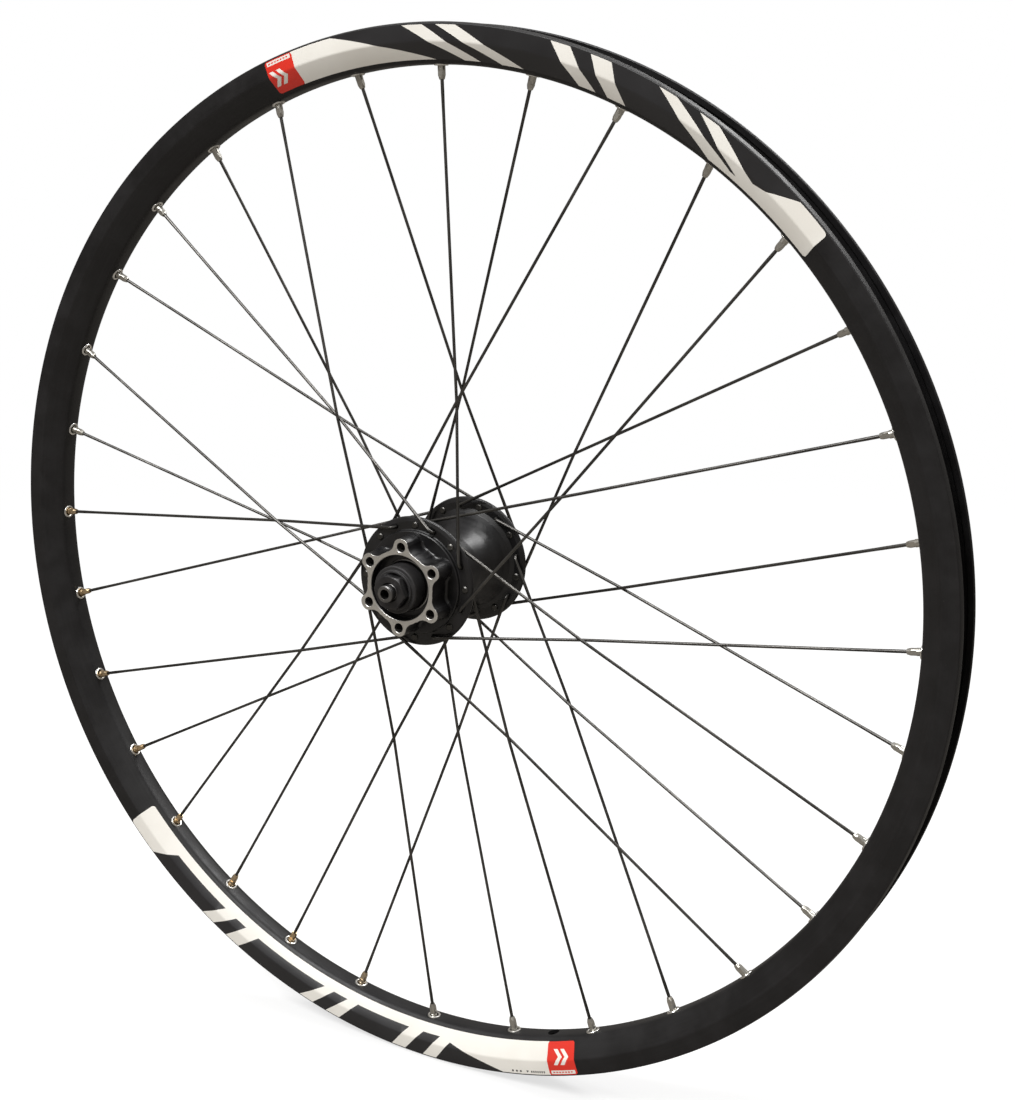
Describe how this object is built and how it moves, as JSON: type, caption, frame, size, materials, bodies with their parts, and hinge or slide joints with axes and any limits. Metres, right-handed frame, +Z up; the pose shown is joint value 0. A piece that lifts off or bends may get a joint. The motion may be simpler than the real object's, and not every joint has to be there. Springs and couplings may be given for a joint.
{
  "type": "spoked bicycle front wheel",
  "caption": "Spoked 26 inch mountain-bicycle front wheel: double-wall black rim, three-cross steel spokes, black hub with disc-brake mount and hollow axle.",
  "frame": {"origin": "wheel centre: the point where the axle's axis crosses the middle plane of the rim", "axes": "+Z up, the axle lies along Y with the brake-disc side (called left) facing -Y, +X to the right when looking at the brake-disc side"},
  "size_m": [0.5731, 0.108, 0.5732],
  "materials": {
    "rim_black": "satin black anodised aluminium",
    "hub_black": "satin black anodised aluminium, disc face machined bare",
    "spoke_steel": "dark drawn steel wire",
    "nipple_nickel": "nickel-plated brass",
    "eyelet_steel": "bright plated steel",
    "bearing_steel": "ground hardened steel",
    "axle_steel": "dark oxide steel",
    "seal_rubber": "matte"
  },
  "bodies": {
    "axle": {"axle": "axle_steel", "cone_left": "bearing_steel", "cone_right": "bearing_steel", "lock_washer_left": "bearing_steel", "lock_washer_right": "bearing_steel", "locknut_left": "axle_steel", "locknut_right": "axle_steel", "cone_seal_left": "seal_rubber", "cone_seal_right": "seal_rubber"},
    "wheel": {"rim": "rim_black", "rim_eyelets": "eyelet_steel", "nipples_left": "nipple_nickel", "nipples_right": "nipple_nickel", "spokes_left_outboard": "spoke_steel", "spokes_left_inboard": "spoke_steel", "spokes_right_outboard": "spoke_steel", "spokes_right_inboard": "spoke_steel", "hub_shell": "hub_black", "bearing_cup_left": "bearing_steel", "bearing_cup_right": "bearing_steel", "dust_cap_left": "bearing_steel", "dust_cap_right": "bearing_steel"},
    "balls_left": {"ball_set_left": "bearing_steel"},
    "balls_right": {"ball_set_right": "bearing_steel"}
  },
  "joints": [
    {"name": "wheel_spin", "type": "hinge", "parent": "axle", "child": "wheel", "pos_m": [0, 0, 0], "axis": [0, 1, 0], "continuous": true},
    {"name": "balls_left_orbit", "type": "hinge", "parent": "axle", "child": "balls_left", "pos_m": [0, -0.0274, 0], "axis": [0, 1, 0], "continuous": true},
    {"name": "balls_right_orbit", "type": "hinge", "parent": "axle", "child": "balls_right", "pos_m": [0, 0.0346, 0], "axis": [0, 1, 0], "continuous": true}
  ],
  "couplings": [
    {"joint": "balls_left_orbit", "follows": "wheel_spin", "ratio": 0.6},
    {"joint": "balls_right_orbit", "follows": "wheel_spin", "ratio": 0.6}
  ]
}
